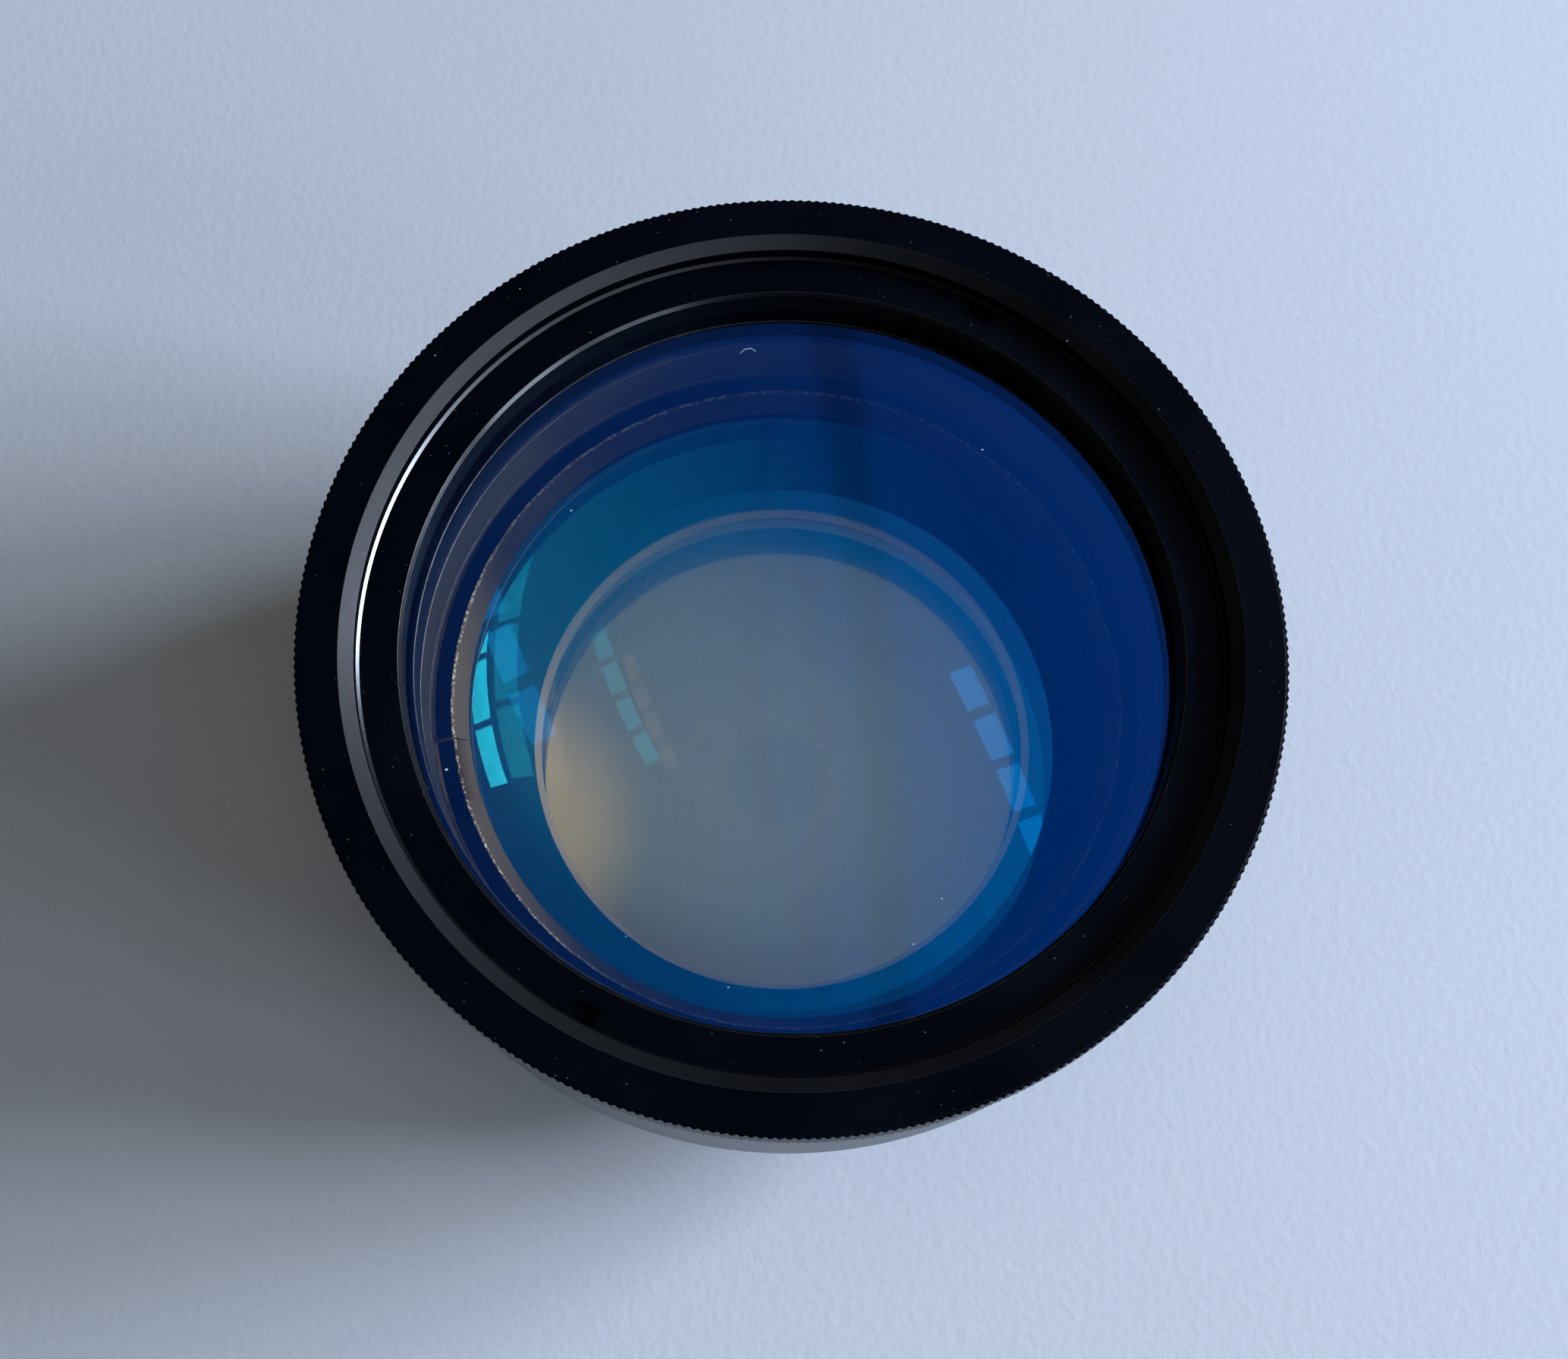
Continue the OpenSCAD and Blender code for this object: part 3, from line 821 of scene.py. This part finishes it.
# %% Turn the ring under the entrance lens
ENTRANCE_SLOTS = (0.0, 180.0)
ENTRANCE_CLEAR_R = 21.8
rear_low, rear_top = ends("entrance_lens_ring")
rear_r = outer("entrance_lens_ring")
rear_slot_start = (ENTRANCE_CLEAR_R + rear_r) / 2
rear_floor = rear_low + SLOT_DEPTH
rear_rows = rounded([
    (ENTRANCE_CLEAR_R + 1.0, rear_low, 0.08),
    (rear_slot_start, rear_low, 0.0),
    (rear_slot_start + SLIT, rear_low, 0.0),
    (rear_r, rear_low, 0.2),
    (rear_r, rear_top, 0.05),
    (ENTRANCE_CLEAR_R, rear_top, 0.05),
])
rear_cut = cut_down(rear_rows, rear_slot_start + SLIT / 2, rear_floor, roof=True)
rear_ring = Surface()
slotted_ring(rear_ring, rear_rows, rear_cut, SLOT_HALF, ENTRANCE_SLOTS, SIDES, ring_finish)
rear_ring.piece("entrance_ring_turned", RING_FINISHES, "entrance_lens_ring")

# %% [markdown]
# ## The spacer between the lenses
#
# A plain ring keeps the two large lenses apart. Both of its ends are cones that touch the
# curved glass, so it is one swept section with four corners.

# %% Turn the spacer
SPACER_R = 31.4
spacer_low, spacer_top = ends("lens_spacer")
spacer_rows = rounded([
    (SPACER_R, spacer_low + 0.85, 0.06),
    (main_r, spacer_low, 0.05),
    (main_r, spacer_top, 0.05),
    (SPACER_R, spacer_top - 0.33, 0.06),
])
spacer = Surface()
spacer.sweep(spacer_rows, SIDES, finish=lambda row: EDGE if row[4] else BORE)
spacer.piece("lens_spacer_turned", RING_FINISHES, "lens_spacer")

# %% [markdown]
# ## The glass
#
# Refraction shows every facet of a coarse sphere, so the lenses are swept from exact arcs with
# exact normals. Sag is the height of an arc above its lowest point, and with it each surface
# is drawn just as an optician specifies it: by radius, thickness and diameter. Each mesh is
# drawn a hair inside its true size, so that glass and metal never share a surface.

# %% Grind the lenses
GLASS_SIDES = 256
ARC_STEPS = 28
BEVEL = 0.3
SEAT_GAP = 0.015
POLISH, GROUND, UNDER_POLISH = 0, 1, 2


def arc_rows(radius, vertex, low_r, high_r, bends_up, faces_up):
    """Rows along a sphere from low_r to high_r. bends_up is for a surface that rises outwards."""
    made = []
    for i in range(ARC_STEPS + 1):
        r = low_r + (high_r - low_r) * i / ARC_STEPS
        rise = sag(radius, r)
        z = vertex + (rise if bends_up else -rise)
        lean = r / radius
        tilt = math.sqrt(1 - lean * lean)
        lean = -lean if bends_up else lean
        made.append((r, z, lean, tilt, False) if faces_up else (r, z, -lean, -tilt, False))
    return made


def lens(name, node, coat, under, rim, over, under_coat=None):
    """A lens from rows of its lower surface, its ground rim and its upper surface."""
    finishes = [UNDER_POLISH] * (len(under) - 1) + [GROUND] * (len(rim) + 1) + [POLISH] * len(over)
    surface = Surface()
    marked = []
    for (r, z, facing_r, facing_z, _), finish in zip(under + rim + over, finishes):
        marked.append((r - SEAT_GAP * facing_r, z - SEAT_GAP * facing_z, facing_r, facing_z, finish))
    marked[0] = (0.0, *marked[0][1:])
    marked[-1] = (0.0, *marked[-1][1:])
    surface.sweep(marked, GLASS_SIDES, closed=False, finish=lambda row: row[4])
    made = surface.piece(name, [coat, ground_glass, under_coat or coat], node)
    made.visible_shadow = False
    return made


def edge_rows(corners):
    """Rows of a ground edge, each face flat: every corner appears once for each side of it."""
    made = []
    for a, b in zip(corners, corners[1:]):
        d = towards(a, b)
        made += [(a[0], a[1], d.y, -d.x, False), (b[0], b[1], d.y, -d.x, False)]
    return made


def main_lens(name, node, rear_r, front_r, low, top, under_coat=None):
    """A large lens that is convex on both sides, with a bevelled ground edge."""
    half = main_r - BEVEL
    rim = edge_rows([
        (half, low + sag(rear_r, half)),
        (main_r, low + sag(rear_r, main_r) + BEVEL),
        (main_r, top - sag(front_r, main_r) - BEVEL),
        (half, top - sag(front_r, half)),
    ])
    under = arc_rows(rear_r, low, 0.0, half, True, False)
    over = arc_rows(front_r, top, half, 0.0, False, True)
    lens(name, node, lens_coat, under, rim, over, under_coat)


EXIT_REAR_R = 260.0
EXIT_FRONT_R = 150.0
MIDDLE_FRONT_R = 105.0
main_lens("exit_lens_ground", "exit_lens", EXIT_REAR_R, EXIT_FRONT_R, exit_low, exit_top)
main_lens(
    "middle_lens_ground", "middle_lens", MIDDLE_REAR_R, MIDDLE_FRONT_R,
    middle_low, middle_top, rear_side_coat,
)

# %% [markdown]
# ## The entrance lens and the window
#
# The small lens is hollow on both sides, with a flat ground land round each hollow, so its rim
# has two more corners. The window is a flat plate and needs no arcs at all.

# %% Grind the entrance lens and the window
POLISH_R = 22.7
ENTRANCE_REAR_R = 90.0
ENTRANCE_FRONT_R = 130.0
rear_vertex = entrance_low + sag(ENTRANCE_REAR_R, POLISH_R)
front_vertex = entrance_top - sag(ENTRANCE_FRONT_R, POLISH_R)
lens(
    "entrance_lens_ground", "entrance_lens", rear_coat,
    arc_rows(ENTRANCE_REAR_R, rear_vertex, 0.0, POLISH_R, False, False),
    edge_rows([
        (POLISH_R, entrance_low),
        (entrance_r - BEVEL, entrance_low),
        (entrance_r, entrance_low + BEVEL),
        (entrance_r, entrance_top - BEVEL),
        (entrance_r - BEVEL, entrance_top),
        (POLISH_R, entrance_top),
    ]),
    arc_rows(ENTRANCE_FRONT_R, front_vertex, POLISH_R, 0.0, True, True),
)
flat_r = pane_r - BEVEL
lens(
    "protective_window_ground", "protective_window", window_coat,
    [(0.0, pane_low, 0.0, -1.0, False), (flat_r, pane_low, 0.0, -1.0, False)],
    edge_rows([
        (flat_r, pane_low),
        (pane_r, pane_low + BEVEL),
        (pane_r, pane_top - BEVEL),
        (flat_r, pane_top),
    ]),
    [(flat_r, pane_top, 0.0, 1.0, False), (0.0, pane_top, 0.0, 1.0, False)],
)

# %% [markdown]
# ## Dust
#
# A lens taken out of its box gathers fluff. Each speck is a flat flake with a ragged outline,
# just proud of the surface, and the hair is a narrow ribbon along a smooth curve. They are
# listed by place and size, since a real speck lies where it fell.

# %% Drop the dust
FACE_SPECKS = ((-36.6, 23.7, 0.09), (-33.8, 27.1, 0.16), (-29.7, 31.7, 0.08), (22.9, 32.5, 0.10))
GLASS_SPECKS = (
    (-13.0, -0.8, 0.09), (2.7, -9.0, 0.07), (6.5, -6.6, 0.08), (15.6, -21.8, 0.12), (13.4, -26.2, 0.10),
    (-2.5, -31.8, 0.12), (-12.0, -28.3, 0.09), (16.1, 22.7, 0.12), (-30.1, -14.9, 0.16), (-22.4, 11.7, 0.14),
)
HAIR = ((-8.3, 30.2), (-7.9, 30.7), (-7.3, 30.9), (-6.8, 30.6))
HAIR_W = 0.035
LIFT = 0.02
FLAKE_CORNERS = 7
dust_random = random.Random(5)
lint, lint_shader, lint_start = material("lint")
fluff = grain(lint_start, 4000.0)
link(fluff.blend((0.45, 0.47, 0.48, 1.0), (0.80, 0.82, 0.82, 1.0)), lint_shader, "Base Color")
link(0.7 + fluff * 0.2, lint_shader, "Roughness")
dust = Surface()


def flake(x, y, size, height):
    """A ragged speck, a little longer one way than the other."""
    start = len(dust.points)
    for k in range(FLAKE_CORNERS):
        a = math.tau * (k + dust_random.uniform(-0.3, 0.3)) / FLAKE_CORNERS
        r = size * dust_random.uniform(0.5, 1.1)
        dust.points.append((x + r * math.cos(a), y + 0.7 * r * math.sin(a), height))
    dust.flat(list(range(start, start + FLAKE_CORNERS)))


for x, y, size in FACE_SPECKS:
    flake(x, y, size, total_z + LIFT)
for x, y, size in GLASS_SPECKS:
    flake(x, y, size, pane_top + LIFT)
hair_sides = []
for side in (-1, 1):
    hair_sides.append([(x, y + side * HAIR_W, pane_top + LIFT) for x, y in HAIR])
dust.grid(hair_sides)
dust.piece("dust", [lint])

# %% [markdown]
# ## Small parts
#
# The seals and the grub screws are hidden once the lens is together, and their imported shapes
# are good enough, so they only get a finish.
# Rubber keeps a faint bloom, and the steel of a screw is scuffed by the key.

# %% Finish the seals and the screws
rubber, rubber_shader, rubber_start = material("seal_rubber")
bloom = grain(rubber_start, 400.0)
link(bloom.blend((0.010, 0.010, 0.010, 1.0), (0.024, 0.024, 0.023, 1.0)), rubber_shader, "Base Color")
link(0.6 + bloom * 0.2, rubber_shader, "Roughness")

steel, steel_shader, steel_start = material("screw_steel")
scuff = grain(steel_start, 900.0)
link(scuff.blend((0.22, 0.22, 0.23, 1.0), (0.42, 0.42, 0.44, 1.0)), steel_shader, "Base Color")
link(0.28 + scuff * 0.2, steel_shader, "Roughness")
steel_shader.inputs["Metallic"].default_value = 1.0


def refinish(node, finish):
    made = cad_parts[node]
    made.data.materials.clear()
    made.data.materials.append(finish)


for node in ("window_seal", "cell_seal"):
    refinish(node, rubber)
for k in (1, 2, 3):
    refinish(f"cell_lock_screw_{k}", steel)
print("two seals and three screws have their finish")

# %% [markdown]
# ## The paper
#
# The lens stands on pale paper. A faint fibre in the bump and a slow cloud in the colour keep
# it from looking like plastic, and a sheet far wider than the view needs no edge or curve.

# %% Lay the paper
paper, paper_shader, paper_start = material("paper")
fibre = grain(paper_start, 900.0, 6.0)
cloud = grain(paper_start, 9.0, 2.0)
tone = (fibre * 0.25 + cloud * 0.75).above(0.5, 0.6)
link(tone.blend((0.70, 0.73, 0.77, 1.0), (0.74, 0.77, 0.81, 1.0)), paper_shader, "Base Color")
FIBRE_DEPTH = 0.15
paper_bump = paper_start.node(
    "ShaderNodeBump", {}, {"Strength": 0.5, "Distance": FIBRE_DEPTH * MM, "Height": fibre}
)
link(paper_bump, paper_shader, "Normal")
link(0.8 + fibre * 0.1, paper_shader, "Roughness")
paper_shader.inputs["Specular IOR Level"].default_value = 0.2

PAPER_HALF = 2.5
sheet_mesh = bpy.data.meshes.new("paper")
sheet_corners = [(PAPER_HALF * x, PAPER_HALF * y, 0) for x, y in ((-1, -1), (1, -1), (1, 1), (-1, 1))]
sheet_mesh.from_pydata(sheet_corners, [], [(0, 1, 2, 3)])
sheet_mesh.materials.append(paper)
floor = bpy.data.objects.new("paper", sheet_mesh)
bpy.context.scene.collection.objects.link(floor)
print("paper", 2 * PAPER_HALF, "m wide")

# %% [markdown]
# ## The windows of the room
#
# Curved, coated glass is a mirror, so what it shows is the room. Daylight comes from tall
# windows with glazing bars on the right: a near one, which does most of the lighting, a
# fanlight above it, a skylight, and two windows further along the wall. A pane is an area
# lamp, and its place is given as an angle, since in a small mirror only the direction counts.

# %% Hang the windows
LIGHT_FAR = 1.5
BAR = 1.1
COOL = (0.72, 0.84, 1.06)


def window_light(name, turn, rise, across, up, wide, high, strength):
    """Panes of light side by side. Directions and sizes are in degrees, as seen from the lens."""
    turn, rise = math.radians(turn), math.radians(rise)
    toward = Vector((math.cos(rise) * math.cos(turn), math.cos(rise) * math.sin(turn), math.sin(rise)))
    facing = toward.to_track_quat("Z", "Y").to_matrix().to_4x4()
    degree = LIGHT_FAR * math.radians(1.0)
    for i in range(across):
        for k in range(up):
            lamp = bpy.data.lights.new(f"{name}_{i}_{k}", "AREA")
            lamp.shape = "RECTANGLE"
            lamp.size, lamp.size_y = wide * degree, high * degree
            lamp.energy = strength * math.pi * lamp.size * lamp.size_y
            lamp.color = COOL
            sideways = (i - (across - 1) / 2) * (wide + BAR)
            upwards = (k - (up - 1) / 2) * (high + BAR)
            shift = Matrix.Translation(Vector((sideways, upwards, 0)) * degree)
            holder = bpy.data.objects.new(lamp.name, lamp)
            holder.matrix_world = Matrix.Translation(toward * LIGHT_FAR) @ facing @ shift
            bpy.context.scene.collection.objects.link(holder)
    print(f"{name}: {across * up} panes")


window_light("near_window", 15.0, 30.5, 3, 1, 10.0, 7.5, 58.0)
window_light("fanlight", 11.0, 40.5, 3, 1, 12.0, 7.0, 3.0)
window_light("skylight", 30.0, 63.0, 4, 1, 4.5, 2.6, 2.2)
for k, (turn, strength) in enumerate(((-48.0, 2.5), (-22.0, 7.0))):
    window_light(f"far_window_{k}", turn, 27.0, 2, 2, 7.2, 8.4, strength)

# %% [markdown]
# ## Lamps that no mirror shows
#
# Three lamps only light what is dull. A wide disk stands for the pale ceiling. Light that many
# lens surfaces gather under the small lens is costly to trace, so a narrow beam down the axis
# stands for it, and a soft warm spot is the glow at one side of the small lens. None of them
# is seen by mirror or glass rays, or the coated glass would show lamps that no room has.

# %% Add the ceiling, the gathered light and the glow
GATHER_HIGH = 1.2
GLOW_R = 18.0
GLOW_X, GLOW_Y = -28.0, -8.0


def unseen_lamp(name, kind, energy, colour, place):
    """A lamp that only dull surfaces see. It shines straight down."""
    lamp = bpy.data.lights.new(name, kind)
    lamp.energy = energy
    lamp.color = colour
    holder = bpy.data.objects.new(name, lamp)
    holder.location = place
    holder.visible_glossy = False
    holder.visible_transmission = False
    bpy.context.scene.collection.objects.link(holder)
    return lamp


ceiling = unseen_lamp("ceiling", "AREA", 0.9, (1.0, 0.99, 0.92), (0.0, 0.0, GATHER_HIGH))
ceiling.shape = "DISK"
ceiling.size = 0.7

gathered = unseen_lamp("gathered", "SPOT", 5.5, (0.98, 1.04, 0.30), (0.0, 0.0, GATHER_HIGH))
gathered.spot_size = 2 * math.atan(entrance_r * MM / GATHER_HIGH)
gathered.spot_blend = 0.1
gathered.shadow_soft_size = 0.02

glow = unseen_lamp("glow", "SPOT", 18.0, (1.0, 0.72, 0.40), (GLOW_X * MM, GLOW_Y * MM, GATHER_HIGH))
glow.spot_size = 2 * math.atan(GLOW_R * MM / GATHER_HIGH)
glow.spot_blend = 1.0
glow.shadow_soft_size = 0.001
print(len(bpy.data.lights), "lamps in all")

# %% [markdown]
# ## The surround
#
# The world gives three answers. The camera sees a plain pale background. Dull surfaces get a
# weak even fill. Mirrors and glass see a room: bright towards the windows and overhead, dark
# behind and near the floor, with one beam of the ceiling as a darker stripe.

# %% Paint the surround
FILL = (0.052, 0.051, 0.047, 1.0)
BACKGROUND = (0.62, 0.70, 0.86, 1.0)
ROOM_DARK = (0.012, 0.014, 0.016, 1.0)
ROOM_BRIGHT = (0.92, 1.04, 1.26, 1.0)
WALL_TOP = 0.55
WALL_SOFT = 0.30
BEAM_FROM = 0.87
BEAM_SLANT = 0.62
BEAM_HALF = 0.011
BEAM_SHADE = 0.66

world = bpy.data.worlds.new("surround")
bpy.context.scene.world = world
world.use_nodes = True
sky = world.node_tree.nodes["Background"]
start = Signal(world.node_tree)
path = start.node("ShaderNodeLightPath").socket.node.outputs
in_glass = Signal(start.tree, path["Is Transmission Ray"])
mirrored = start.math("MAXIMUM", Signal(start.tree, path["Is Glossy Ray"]), in_glass)
look = start.node("ShaderNodeTexCoord")
split = start.node("ShaderNodeSeparateXYZ", {}, {0: look}).socket.node.outputs
to_window, away, upward = (Signal(start.tree, split[k]) for k in range(3))

bright = start.math("MAXIMUM", to_window * 1.20 + away * 0.38 + upward * 0.58 - 0.26, 0.0)
bright = start.math("MINIMUM", bright, 1.0)
bright = bright * upward.above(WALL_TOP, WALL_SOFT)
beam_at = (upward - BEAM_FROM) * BEAM_SLANT
off_beam = start.math("ABSOLUTE", to_window - beam_at).above(BEAM_HALF, 0.010)
bright = bright * (BEAM_SHADE + off_beam * (1.0 - BEAM_SHADE))
room = bright.blend(ROOM_DARK, ROOM_BRIGHT)
seen = Signal(start.tree, path["Is Camera Ray"])
start.tree.links.new(seen.blend(mirrored.blend(FILL, room), BACKGROUND).socket, sky.inputs["Color"])
print("the room has", len(start.tree.nodes), "nodes")

# %% [markdown]
# ## The view transform
#
# Colours are shown as they are written, with the Standard view transform.

# %% Set the view transform
scene = bpy.context.scene
scene.view_settings.view_transform = "Standard"
